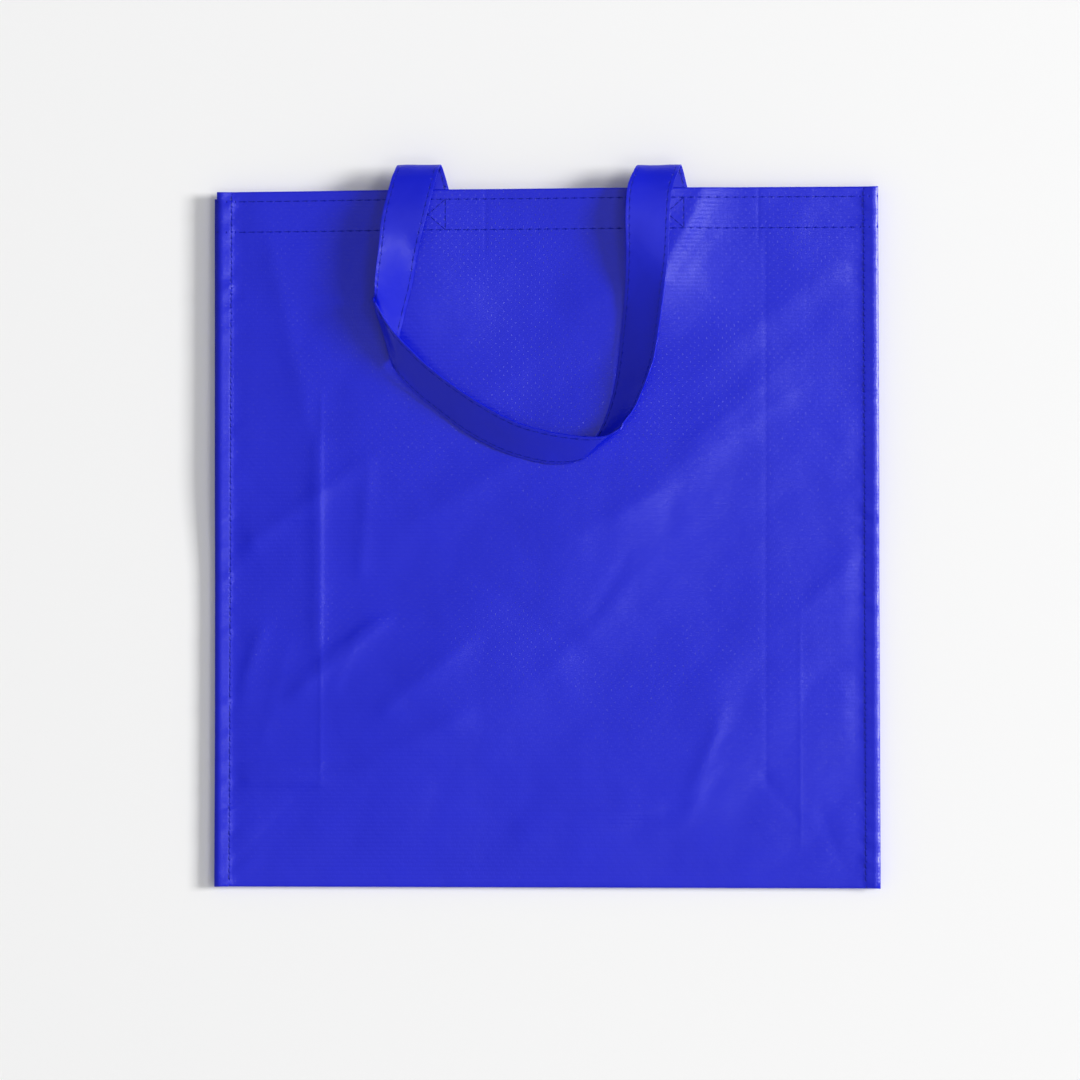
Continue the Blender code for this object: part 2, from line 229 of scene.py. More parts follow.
def detail(x, y):
    """Height of the front panel's creases and billows above its plain form."""
    inside = ease(0, 0.012, seam_x - abs(x)) * ease(0, 0.012, y)
    height = ridge_height(billows, x * 1000, y * 1000, False)
    height += ridge_height(creases, x * 1000, y * 1000, True)
    # Swells of 40 to 60 mm, crumples with a sharp valley between them, and a 14 mm unevenness.
    height += 0.0005 * noise.noise(Vector((x * 16, y * 24, 3.1)))
    height += 0.0006 * abs(noise.noise(Vector((x * 22 - y * 14, x * 9 + y * 16, 5.2))))
    height += 0.00012 * noise.noise(Vector((x * 70, y * 70, 7.7)))
    # The side seam pulls the sheet beside it into puckers that fade inwards.
    from_seam = seam_x - abs(x)
    pull = 0.0005 * ease(0, 0.003, from_seam) * math.exp(-max(from_seam, 0) / 0.009)
    return height * inside + pull * pucker(y + 0.4 * abs(x), math.copysign(8, x))


def lip_curl(x, y, seed):
    """Height of a sewn side edge, which stands up at its outer rim and puckers at the seam."""
    out = ease(seam_x - 0.001, bag_width / 2, abs(x))
    at_seam = 1 - ease(0, 0.006, abs(abs(x) - seam_x - 0.002))
    wave = max(0, 0.0006 + 0.0017 * pucker(y + 0.5 * abs(x), seed))
    rise = 0.6 * lip_rise * max(0, abs(x) - seam_x) / seam_lip
    return rise + wave * (0.5 * at_seam + 0.25 * out)


in_middle = detail(0, bag_height / 2)
print("The details lift the front's middle by", round(in_middle * 1000, 2), "mm")

# %% [markdown]
# ### Level of the back
#
# The back lies on the floor, except where the folded back handle lies under it and lifts it. Every
# layer of the bag takes its level from the back's or the front's, so no layer can pass through
# another.

# %% Level of the back panel
sewn_gap = 0.0003
back_loop_reach = 0.139
strap_layer = strap_thickness + layer_gap
back_lift = 2 * strap_layer + sewn_gap
lift_end = bag_height - back_loop_reach - strap_width
# The bag takes 80 mm to come down to the floor again.
lift_start = lift_end - 0.080


def lifted(y):
    """How far the folded back handle lifts the bag."""
    return back_lift * ease(lift_start, lift_end, y)


def back_level(x, y):
    """Height of the back panel's middle plane."""
    return sheet_thickness / 2 + lifted(y) + 0.8 * lip_curl(x, y, 11 * math.copysign(1, x))


print("The back handle lifts the bag by", round(back_lift * 1000, 2), "mm")

# %% [markdown]
# ### Level of the front
#
# The front lies a stack of layers above the back at its edges, and higher in its middle, where the
# bag holds some air. Long slow waves run across it. Below each of its roots the bent front handle
# has drawn the sheet up into a low ridge.

# %% Level of the front panel
middle_stack = 0.0104
fullness_reach = 0.110
wave_height = 0.0007
wave_length = 0.150
root_rise = 0.0045
root_ridge_width = 0.038
root_ridge_shift = -0.016
root_ridge_reach = 0.110


def stack(x, y):
    """Height of the front panel above the back, without its creases and billows."""
    from_seam = min(max((seam_x - abs(x)) / seam_x, 0), 1)
    full = math.sin(math.pi / 2 * from_seam) * ease(0, fullness_reach, y)
    first = math.sin(2 * math.pi * (0.8 * x - 0.6 * y) / wave_length)
    second = math.sin(2 * math.pi * (0.5 * x - 0.9 * y) / (1.3 * wave_length) + 1)
    return edge_stack + full * (middle_stack - edge_stack + wave_height * (first + second))


def root_ridges(x, y):
    """How far the front is lifted in a ridge below each root of the front handle."""
    across = 0
    for side in (-1, 1):
        away = x - side * handle_spacing / 2 - root_ridge_shift
        across += math.exp(-((away / root_ridge_width) ** 2))
    full_from = bag_height - root_ridge_reach / 2
    inside = ease(0, fullness_reach / 2, seam_x - abs(x))
    return root_rise * across * inside * ease(bag_height - root_ridge_reach, full_from, y)


def front_level(x, y):
    """Height of the front panel's middle plane."""
    curl = lip_curl(x, y, 5 * math.copysign(1, x))
    return sheet_thickness / 2 + lifted(y) + curl + stack(x, y) + root_ridges(x, y) + detail(x, y)


print("The front's middle lies", round(front_level(0, bag_height / 2) * 1000, 1), "mm up")

# %% [markdown]
# ### A little out of square
#
# A bag that is laid down by hand is never quite square. One function puts every point of the bag
# into the frame, with the lean of the front and the slip of the back, so that all pieces share
# them. It also leaves room for the thread under the back.

# %% Place in the frame
thread_room = 0.0002


def place(x, y, z, behind=0):
    """A point of the bag in the fixed frame.

    The bag lies a little out of square. Its back, where behind is 1, has slipped down and out
    at the upper left.
    """
    share = y / bag_height
    skewed = y + x * (0.012 * share - 0.003)
    slip = behind * share * (0.5 - x / bag_width)
    x = x * (1.0025 - 0.009 * share) - 0.0015 * slip
    return Vector((x, skewed - 0.0040 * slip - total_length / 2, z + thread_room))


print("The front's upper left corner is at", place(-bag_width / 2, bag_height, edge_stack))

# %% [markdown]
# ## Folding a flat sheet
#
# Each sheet starts flat, as it was cut, with its pattern kept as a texture map in metres. Then
# each of its points moves to its folded place. The bag could also be built from separate panels,
# but then the weave would break at each fold. A crease turns over a small radius, so that the
# layers on its two sides never touch.

# %% Folding tools

def turned(distance, radius):
    """Distance from a crease and share of the way to the second layer, for a point near a fold."""
    if abs(distance) >= radius:
        return abs(distance), 0 if distance > 0 else 1
    angle = math.pi / 2 * (1 - distance / radius)
    return radius * (1 - math.sin(angle)), (1 - math.cos(angle)) / 2


def fold_lines(crease, radius):
    """Lines of points that let a flat sheet turn round a crease."""
    return [crease + radius * (1 - angle / 90) for angle in (0, 45, 90, 135, 180)]


def lines(start, end, step, fixed=()):
    """Evenly spaced lines from start to end, together with the fixed ones."""
    fixed = sorted([start, end, *[line for line in fixed if start < line < end]])
    found = list(fixed)
    for low, high in zip(fixed, fixed[1:]):
        count = max(1, round((high - low) / step))
        found += [low + (high - low) * i / count for i in range(1, count)]
    return sorted(found)


def flat_sheet(across, along):
    """A flat sheet with a line of points at each place given."""
    mesh = bmesh.new()
    columns, rows = len(across) - 1, len(along) - 1
    bmesh.ops.create_grid(mesh, x_segments=columns, y_segments=rows, size=1)
    for vert in mesh.verts:
        column = round((vert.co.x + 1) / 2 * columns)
        row = round((vert.co.y + 1) / 2 * rows)
        vert.co = (across[column], along[row], 0)
    return mesh


def keep_pattern(mesh):
    """Stores each point's place on the flat sheet as a texture map, in metres."""
    pattern = mesh.loops.layers.uv.new("pattern")
    for face in mesh.faces:
        for loop in face.loops:
            loop[pattern].uv = loop.vert.co.xy


print("A fold takes", len(fold_lines(0, turn_radius)), "lines of points")

# %% [markdown]
# A sheet is modelled as its middle surface. Solidify then gives it its wall, half of it on each
# side, so both of its faces keep to their levels. Its normals are made to agree first.

# %% Finish a piece

def finish(name, mesh, thickness, material):
    """Makes the object, smooth and with its wall thickness."""
    bmesh.ops.recalc_face_normals(mesh, faces=mesh.faces[:])
    data = bpy.data.meshes.new(name)
    mesh.to_mesh(data)
    mesh.free()
    data.materials.append(material)
    data.shade_smooth()
    made = bpy.data.objects.new(name, data)
    bpy.context.scene.collection.objects.link(made)
    if thickness:
        wall = made.modifiers.new("Thickness", "SOLIDIFY")
        wall.thickness = thickness
        wall.offset = 0
    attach(made, "root")
    return made


print("A sheet's wall is", sheet_thickness * 1000, "mm thick")

# %% [markdown]
# ## Materials
#
# The bag is of laminated woven polypropylene. Flat tapes about 2.4 mm wide are woven to a sheet,
# and a clear glossy film is rolled onto it. An image could show that, but nodes stay sharp at any
# distance. They read the pattern map, which is in metres, so the tapes have their real width and
# follow the sheet round every fold.

# %% Colour and node helpers
sheet_blues = ("#0213cb", "#0415d4")
# This darker blue is painted shade for the dents of the needle holes.
painted_hole_shade = "#0212a0"


def colour(code):
    """Linear colour from a hexadecimal code."""
    parts = [int(code[i:i + 2], 16) / 255 for i in (1, 3, 5)]
    return [p / 12.92 if p <= 0.04045 else ((p + 0.055) / 1.055) ** 2.4 for p in parts] + [1]


def add_node(owner, kind, inputs=None, **settings):
    """Adds a node to a material or the world, with its settings, values and links.

    A node that is given as an input is linked by its first output.
    """
    node = owner.node_tree.nodes.new(kind)
    for name, value in settings.items():
        setattr(node, name, value)
    for name, value in (inputs or {}).items():
        if isinstance(value, bpy.types.Node):
            value = value.outputs[0]
        if isinstance(value, bpy.types.NodeSocket):
            owner.node_tree.links.new(value, node.inputs[name])
        else:
            node.inputs[name].default_value = value
    return node


def new_material(name):
    """A material and its shader."""
    material = bpy.data.materials.new(name)
    material.use_nodes = True
    return material, material.node_tree.nodes["Principled BSDF"]


print("The sheet's blue in linear light:", [round(part, 3) for part in colour(sheet_blues[0])])

# %% [markdown]
# ### Tapes and needle holes
#
# A tape is a low rounded ridge, so its height is a sine of the place across it. A needle hole is a
# small pit. It lies where a groove along the row of stitches meets one across it, so it needs no
# faces of its own.

# %% Relief of tapes and needle holes
dent_radius = 0.0009


def crown(material, position, width):
    """Rounded height of parallel tapes."""
    angle = add_node(
        material, "ShaderNodeMath", {0: position, 1: math.pi / width}, operation="MULTIPLY"
    )
    wave = add_node(material, "ShaderNodeMath", {0: angle}, operation="SINE")
    return add_node(material, "ShaderNodeMath", {0: wave}, operation="ABSOLUTE")


def groove(material, distance, width):
    """1 on a line and 0 further than width from it."""
    away = add_node(material, "ShaderNodeMath", {0: distance}, operation="ABSOLUTE")
    near = add_node(material, "ShaderNodeMath", {0: away, 1: width}, operation="DIVIDE")
    near = add_node(material, "ShaderNodeMath", {0: near, 1: 1}, operation="MINIMUM")
    left = add_node(material, "ShaderNodeMath", {0: 1, 1: near}, operation="SUBTRACT")
    return add_node(material, "ShaderNodeMath", {0: left, 1: 2}, operation="POWER")


def needle_holes(material, along, across, position, step, width):
    """1 at each needle hole of a row, at one position across the cloth on both its halves."""
    away = add_node(material, "ShaderNodeMath", {0: across}, operation="ABSOLUTE")
    side = add_node(material, "ShaderNodeMath", {0: away, 1: position}, operation="SUBTRACT")
    beat = add_node(material, "ShaderNodeMath", {0: along, 1: step / 2}, operation="PINGPONG")
    row, holes = groove(material, side, width), groove(material, beat, width)
    return add_node(material, "ShaderNodeMath", {0: row, 1: holes}, operation="MULTIPLY")


print("A needle hole repeats every", long_stitch * 1000, "mm along a hem")

# %% [markdown]
# ### Weave
#
# In a plain weave each tape goes over one and under the next, so a checker of the tapes' width
# says which of them is on top. The tapes across lie fuller than those along, which were pulled
# tight on the loom. So the sheet shows fine dashes.

# %% The weave's relief
tape_width = 0.0024
weave_relief = 0.000044
pressed_relief = 0.000008


def weave(material, pattern):
    """Height of the woven tapes, from 0 to 1."""
    parts = add_node(material, "ShaderNodeSeparateXYZ", {0: pattern})
    over = add_node(
        material, "ShaderNodeTexChecker", {"Vector": pattern, "Scale": 1 / tape_width}
    ).outputs["Fac"]
    warp = crown(material, parts.outputs["X"], tape_width)
    weft = crown(material, parts.outputs["Y"], tape_width)
    flat_warp = add_node(material, "ShaderNodeMath", {0: warp, 1: 0.2}, operation="MULTIPLY")
    under = add_node(
        material, "ShaderNodeMath", {0: weft, 1: 0.5, 2: flat_warp}, operation="MULTIPLY_ADD"
    )
    return add_node(material, "ShaderNodeMix", {0: over, 2: under, 3: weft})


print("Its tapes are", tape_width * 1000, "mm wide")

# %% [markdown]
# ### The laminated sheet
#
# The clear film is extruded polypropylene with an IOR of 1.49, rolled on hot. It follows the tapes
# and stays a little uneven, so its roughness is 0.30 and the eye sees soft, broken highlights. The
# blue is in the tapes under it, and varies very little. Around each needle hole the film is dented,
# and the shade in that dent is painted on as a darker blue.

# %% The laminated sheet

def laminated_sheet(name, seams, hems, weave_height):
    """Woven tapes under a film. A seam or hem is its place across the pattern and its stitch."""
    material, shader = new_material(name)
    pattern = add_node(material, "ShaderNodeUVMap", uv_map="pattern")
    place_in_bag = add_node(material, "ShaderNodeTexCoord").outputs["Object"]
    # Soft unevenness about 26 mm long, and a fine crumple of 6 mm.
    soft = add_node(
        material, "ShaderNodeTexNoise",
        {"Vector": place_in_bag, "Scale": 38, "Detail": 3, "Roughness": 0.5},
    )
    crumple = add_node(
        material, "ShaderNodeTexNoise",
        {"Vector": place_in_bag, "Scale": 160, "Detail": 2, "Roughness": 0.5, "Distortion": 1.2},
    )
    height = add_node(
        material, "ShaderNodeMath", {0: weave(material, pattern), 1: weave_height},
        operation="MULTIPLY",
    )
    height = add_node(
        material, "ShaderNodeMath", {0: soft, 1: 0.0005, 2: height}, operation="MULTIPLY_ADD"
    )
    height = add_node(
        material, "ShaderNodeMath", {0: crumple, 1: 0.00007, 2: height}, operation="MULTIPLY_ADD"
    )
    blues = {0: soft, 6: colour(sheet_blues[0]), 7: colour(sheet_blues[1])}
    base = add_node(material, "ShaderNodeMix", blues, data_type="RGBA").outputs[2]
    parts = add_node(material, "ShaderNodeSeparateXYZ", {0: pattern})
    u, v = parts.outputs["X"], parts.outputs["Y"]
    rows = [(v, u, *seam) for seam in seams] + [(u, v, *hem) for hem in hems]
    holes = None
    for row in rows:
        found = needle_holes(material, *row, dent_radius)
        if holes is not None:
            found = add_node(material, "ShaderNodeMath", {0: holes, 1: found}, operation="MAXIMUM")
        holes = found
    if holes is not None:
        height = add_node(
            material, "ShaderNodeMath", {0: holes, 1: -0.0005, 2: height},
            operation="MULTIPLY_ADD",
        )
        # Painted shade: each needle hole's dent is also coloured a darker blue, besides its bump.
        hole_shade_mix = {0: holes, 6: base, 7: colour(painted_hole_shade)}
        base = add_node(material, "ShaderNodeMix", hole_shade_mix, data_type="RGBA").outputs[2]
    bump = add_node(material, "ShaderNodeBump", {"Height": height, "Distance": 1.0})
    material.node_tree.links.new(base, shader.inputs["Base Color"])
    material.node_tree.links.new(bump.outputs[0], shader.inputs["Normal"])
    shader.inputs["Roughness"].default_value = 0.30
    shader.inputs["IOR"].default_value = 1.49
    return material


hem_holes = [(mouth - row, long_stitch) for row in hem_rows]
seam_holes = [(seam_x + seam_row, seam_stitch)]
sheet_name = "laminated woven polypropylene of the "
body_film = laminated_sheet(sheet_name + "body", seam_holes, hem_holes, weave_relief)
gusset_film = laminated_sheet(sheet_name + "gussets", [], [], weave_relief)
print("Made", body_film.name, "and", gusset_film.name)

# %% [markdown]
# ### Straps and thread
#
# A handle is a strip of the same sheet, folded in four and pressed, so its weave is almost flat and
# it shines more evenly. The thread is twisted from fine polyester fibres. Light that falls between
# them stays there, so it looks dull and darker than the film.

# %% The straps' film and the sewing thread
strap_holes = [(strap_width / 2 - strap_row_inset, long_stitch)]
strap_film = laminated_sheet(sheet_name + "handles", strap_holes, [], pressed_relief)


def thread_material():
    """Dull blue twisted polyester, with a fine diagonal twist."""
    material, shader = new_material("polyester sewing thread")
    place_in_bag = add_node(material, "ShaderNodeTexCoord").outputs["Object"]
    # The twist is drawn coarser than the real one, which would be too fine to show.
    twist = add_node(
        material, "ShaderNodeTexWave",
        {"Vector": place_in_bag, "Scale": 900, "Distortion": 2}, bands_direction="DIAGONAL",
    ).outputs["Fac"]
    bump = add_node(material, "ShaderNodeBump", {"Height": twist, "Distance": 0.00005})
    material.node_tree.links.new(bump.outputs[0], shader.inputs["Normal"])
    shader.inputs["Base Color"].default_value = colour("#0819a8")
    shader.inputs["Roughness"].default_value = 0.6
    shader.inputs["Specular IOR Level"].default_value = 0.2
    return material


thread = thread_material()
print("Made", strap_film.name, "and", thread.name)

# %% [markdown]
# ## The body sheet
#
# One sheet makes the front, the bottom and the back, as on the real bag, and its ends turn inwards
# as hems. Along is 0 on the bottom's middle crease, and grows towards the front's mouth. Bending a
# box would be quicker, but it couldn't keep the hems and the bottom's inward fold as one sheet.

# %% Fold the body sheet

def body_place(x, along):
    """Place of a point of the flat body sheet. Each fold is nearest to one part of its run."""
    front = along > 0
    run = abs(along)
    if run < crease_y / 2:
        away, share = turned(along, crease_radius)
        y = crease_y - away
        upper = front_level(x, y) - 3 * pitch
        lower = back_level(x, y) + 3 * pitch
        return place(x, y, upper + (lower - upper) * share, share)
    if run < (crease_y + mouth) / 2:
        y, share = turned(run - crease_y, bottom_fold_radius)
        inward = 3 * pitch * share
    else:
        away, share = turned(mouth - run, turn_radius)
        y = bag_height - away
        inward = pitch * share
    if front:
        return place(x, y, front_level(x, y) - inward)
    return place(x, y, back_level(x, y) + inward, 1)


print("The middle crease of the bottom lies at", body_place(0, 0))

# %% [markdown]
# The grid is about 3 mm fine. It has extra lines at each fold, hem and seam, and beside each crease
# that runs along the grid, because a sharp form between two lines of points would be lost.

# %% Make the body

def body_sheet():
    """The folded body, with its pattern as a texture map."""
    step = 0.0030
    fixed = fold_lines(0, crease_radius)
    for side in (-1, 1):
        fixed += [side * line for line in fold_lines(crease_y, bottom_fold_radius)]
        fixed += [side * line for line in fold_lines(mouth, turn_radius)]
        fixed += [side * (mouth - away) for away in (hem_depth, hem_rows[0], 0.0015)]
    # Lines beside each seam, and then beside each straight crease.
    rims = []
    for side in (-1, 1):
        rims += [side * (seam_x + part) for part in (-0.003, -0.0015, 0, 0.0015, 0.003, 0.006)]
    for (x, y), (other_x, other_y), rise, width in creases:
        for part in (-2.4, -0.9, 0, 0.9, 2.4):
            if x == other_x:
                rims.append((x + part) * 0.001)
            if y == other_y:
                fixed.append(crease_y + (y + part) * 0.001)
    low = lines(-mouth - hem_depth, -crease_y, 2 * step, fixed)
    middle = lines(-crease_y, crease_y, 0.008, fixed)
    high = lines(crease_y, mouth + hem_depth, 0.0027, fixed)
    across = lines(-bag_width / 2, bag_width / 2, step, rims)
    mesh = flat_sheet(across, sorted({*low, *middle, *high}))
    keep_pattern(mesh)
    for vert in mesh.verts:
        vert.co = body_place(vert.co.x, vert.co.y)
    return finish("folded_body", mesh, sheet_thickness, body_film)


body = body_sheet()
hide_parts("body_panel")
print("The body sheet has", len(body.data.polygons), "faces")

# %% [markdown]
# ## The gussets
#
# Each side wall folds inwards on its middle line. At the bottom its corners turn over on a
# diagonal, which makes the triangle that lies under the folded bottom. Two folds that cross can't
# be made one after the other without a crumple. So each half of the wall is placed by itself, and
# the middle fold joins the two.

# %% Fold the gusset sheets

def gusset_pitch(y):
    """Room for a gusset's layer under its panel, which grows where the hem lies between them."""
    hem_start = bag_height - hem_depth
    return pitch * (1 + 2 * ease(hem_start - 2 * hem_depth, hem_start - 2 * pitch, y))


def gusset_half_place(side, front, inward, along):
    """Place on one half of a gusset, inward from its seam, before its middle fold."""
    if along > bag_height - hem_depth:
        away, share = turned(bag_height - along, turn_radius)
        across, y, level = inward, bag_height - away, -share
    else:
        offset = (along - corner_ease - inward) / math.sqrt(2)
        away, level = turned(offset, turn_radius)
        centre = (inward + along - corner_ease) / 2
        across = centre - away / math.sqrt(2)
        y = centre + corner_ease + away / math.sqrt(2)
    x = side * (seam_x - across)
    drop = gusset_pitch(y) + pitch * level
    return across, y, front_level(x, y) - drop if front else back_level(x, y) + drop


def gusset_place(side, across, along):
    """Place of a point of the flat gusset, which has 0 on its middle fold."""
    inward = gusset_half - max(abs(across), inner_fold_radius)
    from_seam, y, upper = gusset_half_place(side, True, inward, along)
    lower = gusset_half_place(side, False, inward, along)[2]
    if abs(across) >= inner_fold_radius:
        x = side * (seam_x - from_seam)
        return place(x, y, upper) if across > 0 else place(x, y, lower, 1)
    angle = math.pi / 2 * (1 - across / inner_fold_radius)
    turn = ease(turn_radius, -turn_radius, (along - corner_ease - inward) / math.sqrt(2))
    in_hem = turned(bag_height - along, turn_radius)[1]
    bulge = (inner_fold_radius + pitch * in_hem) * math.sin(angle)
    from_seam += bulge * math.cos(turn * math.pi / 2)
    y += bulge * math.sin(turn * math.pi / 2)
    level = (upper + lower) / 2 + (upper - lower) / 2 * math.cos(angle)
    behind = (1 - math.cos(angle)) / 2
    return place(side * (seam_x - from_seam), y, level, behind)


print("The right gusset's middle fold starts at", gusset_place(1, 0, corner_ease))

# %% [markdown]
# The grid is scored along the diagonal before it is folded, as card is before it is bent, so that
# no face crosses the fold. The two lower corners are notched, because they would only add bulk.

# %% Make the gussets

def score(mesh, faces, point, normal):
    """Cuts some faces along a line, so that they can fold there."""
    parts = {part for face in faces for part in (face, *face.edges, *face.verts)}
    bmesh.ops.bisect_plane(mesh, geom=list(parts), dist=1e-7, plane_co=point, plane_no=normal)


def gusset_sheet(name, side):
    """One folded side wall. Its side is -1 at the left and 1 at the right."""
    step = 0.0045
    edge = gusset_half + seam_lip
    rims = [-gusset_half, -gusset_half - 0.004, gusset_half, gusset_half + 0.004]
    across = lines(-edge, edge, step, rims + fold_lines(0, inner_fold_radius))
    fixed = [corner_ease, bag_height - hem_depth, *fold_lines(bag_height, turn_radius)]
    along = lines(corner_ease - seam_lip, bag_height + hem_depth, step, fixed)
    mesh = flat_sheet(across, along)
    for half in (-1, 1):
        for shift in fold_lines(0, turn_radius):
            corner = []
            for face in mesh.faces:
                middle = face.calc_center_median()
                if middle.y < gusset_half + 0.006 and half * middle.x > 0:
                    corner.append(face)
            point = (half * gusset_half, corner_ease + shift * math.sqrt(2), 0)
            score(mesh, corner, point, (half, 1, 0))
    notch = []
    for face in mesh.faces:
        middle = face.calc_center_median()
        if middle.y < corner_ease and abs(middle.x) > gusset_half:
            notch.append(face)
    bmesh.ops.delete(mesh, geom=notch, context="FACES")
    keep_pattern(mesh)
    for vert in mesh.verts:
        vert.co = gusset_place(side, vert.co.x, vert.co.y)
    return finish(name, mesh, sheet_thickness, gusset_film)


for name, side in (("left", -1), ("right", 1)):
    made = gusset_sheet("folded_" + name + "_gusset", side)
    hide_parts(name + "_gusset")

# %% [markdown]
# ## The handles
#
# A handle is a strip folded to 25 mm and sewn along both edges, so it is stiff and its edges
# pucker. A curve with a flat profile would twist by itself where it turns. So the front handle's
# route is a list of sections, as its solid's is. Each is a pair of edge points, in millimetres from
# the middle of the mouth and from the panel's face.

# %% The straps' routes
left_bend = (
    ((-89, 13.5, 4.5), (-63.5, 13.5, 4.5)),
    ((-92, 9, 11), (-66, 9, 11)),
    ((-94.5, 1, 15), (-68, 0, 15)),
    ((-99, -18, 18), (-73, -20, 17.5)),
    ((-101, -36, 19), (-78, -40, 12)),
    ((-103, -52, 18), (-81, -57, 8)),
    ((-103.5, -61, 16.5), (-86, -76, 5)),
    ((-103.5, -65, 13.5), (-92, -102, 2.5)),
)
loop = (
    ((-102.5, -69, 18.5), (-91.5, -108, 5.5)),
    ((-93.5, -84, 18.5), (-86.5, -115, 5)),
    ((-79.5, -99.5, 18), (-79, -123, 3)),
    ((-64, -113, 17.5), (-68, -132, 2)),
    ((-41, -128.5, 17.5), (-49, -146, 1.5)),
    ((-19.5, -140, 17), (-26, -158, 1.5)),
    ((1, -146, 17), (-5.5, -164, 1.5)),
    ((20, -149, 16.5), (8, -165, 2)),
    ((34.5, -149, 16.5), (16.5, -164, 3)),
    ((43, -144.5, 16), (20.5, -162.5, 5)),
)
right_bend = (
    ((45, -141.5, 14.2), (22.5, -159.5, 3.4)),
    ((52, -132, 14.5), (30, -148, 2)),
    ((56.5, -122, 15), (35.5, -135.5, 2)),
    ((60, -113, 17.5), (40, -120, 2)),
    ((64, -100, 17), (43, -100.5, 3)),
    ((67, -80.5, 17), (45, -80, 5)),
    ((69.5, -62, 18), (46.5, -61, 9)),
    ((72, -40, 19), (47, -38, 15)),
    ((73, -20, 18), (46.5, -18, 18)),
    ((74.5, -1, 15), (47.5, -1, 15)),
    ((78, 9, 11), (51, 9, 11)),
    ((80.5, 13.5, 4.5), (55, 13.5, 4.5)),
)
print("The loop is drawn by", len(left_bend) + len(loop) + len(right_bend), "sections")

# %% [markdown]
# Each edge runs on a smooth curve through its listed points. At a mitre fold the strap turns over
# on itself, and its sections swing round the fold's line by half a turn.

# %% Curves and folds of a strap

def drawn_point(point):
    """A listed point in the frame."""
    x, y, z = (part * 0.001 for part in point)
    y += bag_height
    foot_y = min(y, bag_height)
    z += lifted(foot_y) + stack(x, foot_y) + sheet_thickness
    return Vector((x, y - total_length / 2, z))


def curve_through(points, steps):
    """Points on a smooth curve through the given ones."""
    found = []
    for i in range(len(points) - 1):
        before, start = points[max(i - 1, 0)], points[i]
        end, after = points[i + 1], points[min(i + 2, len(points) - 1)]
        leave, arrive = (end - before) / 2, (after - start) / 2
        for step in range(steps):
            t = step / steps
            found.append(
                start * (2 * t**3 - 3 * t**2 + 1) + leave * (t**3 - 2 * t**2 + t)
                + end * (3 * t**2 - 2 * t**3) + arrive * (t**3 - t**2)
            )
    return found + [points[-1]]


def smooth_run(rows, steps):
    """Sections on smooth curves through the given ones."""
    first = curve_through([row[0] for row in rows], steps)
    second = curve_through([row[1] for row in rows], steps)
    return list(zip(first, second))


def half_turn(start, end, outward):
    """Sections of the bend between two strap layers that share a mitre fold."""
    found = []
    for angle in (30, 60, 90, 120, 150):
        turn = math.radians(angle)
        section = []
        for near, far in zip(start, end):
            middle, half = (near + far) / 2, (near - far) / 2
            section.append(middle + half * math.cos(turn) + outward * math.sin(turn))
        found.append(tuple(section))
    return found


print("Two layers of a strap lie", round(strap_layer * 1000, 2), "mm apart")

# %% [markdown]
# The front strap comes up from its left root inside the hem, bends over the mouth, turns over into
# the loop, and goes back to its right root.

# %% Route of the front strap

def root_sections(side, front):
    """The sewn end of a strap, from the hem's edge up to the mouth."""
    x = side * handle_spacing / 2
    edges = (x + side * strap_width / 2, x - side * strap_width / 2)
    inset = pitch + sheet_thickness / 2 + sewn_gap + strap_thickness / 2
    found = []
    for share in range(9):
        y = bag_height - hem_depth * (1 - share / 8)
        section = []
        for edge in edges:
            level = front_level(edge, y) - inset if front else back_level(edge, y) + inset
            section.append(place(edge, y, level, 0 if front else 1))
        found.append(tuple(section))
    return found


def filled(sections, longest=0.003):
    """Adds sections between those that lie far apart."""
    found = [sections[0]]
    for near, far in zip(sections, sections[1:]):
        reach = max((near[0] - far[0]).length, (near[1] - far[1]).length)
        count = max(1, math.ceil(reach / longest))
        for i in range(1, count + 1):
            found.append((near[0].lerp(far[0], i / count), near[1].lerp(far[1], i / count)))
    return found


def front_route():
    """All sections of the front strap, from its left root to its right one."""
    runs = []
    for rows in (left_bend, loop, right_bend):
        runs.append([(drawn_point(first), drawn_point(second)) for first, second in rows])
    left, middle, right = runs
    left_root = root_sections(-1, True)
    right_root = root_sections(1, True)[::-1]
    bend = strap_thickness
    sections = left_root[:-1] + smooth_run(left_root[-1:] + left, 10)
    sections += half_turn(left[-1], middle[0], Vector((-bend, -bend / 2, 0)))
    sections += smooth_run(middle, 10)
    sections += half_turn(middle[-1], right[0], Vector((bend, -bend, 0)) / 2)
    return filled(sections + smooth_run(right + right_root[:1], 10) + right_root[1:])


front_sections = front_route()
print("The front handle has", len(front_sections), "sections")

# %% [markdown]
# The back strap bends over the mouth to the back and lies flat under the bag, with a square mitre
# fold at each corner. It is the same strap, and one side mirrors the other. Only its bends lean to
# the left.

# %% Route of the back strap
back_bend_rise = 0.009
bend_lean = 0.0035


def leaning(point):
    """A point of the back strap's bend above the mouth, which leans to the left."""
    above = point.y - bag_height + total_length / 2
    return point - Vector((bend_lean * ease(0, 0.006, above), 0, 0))


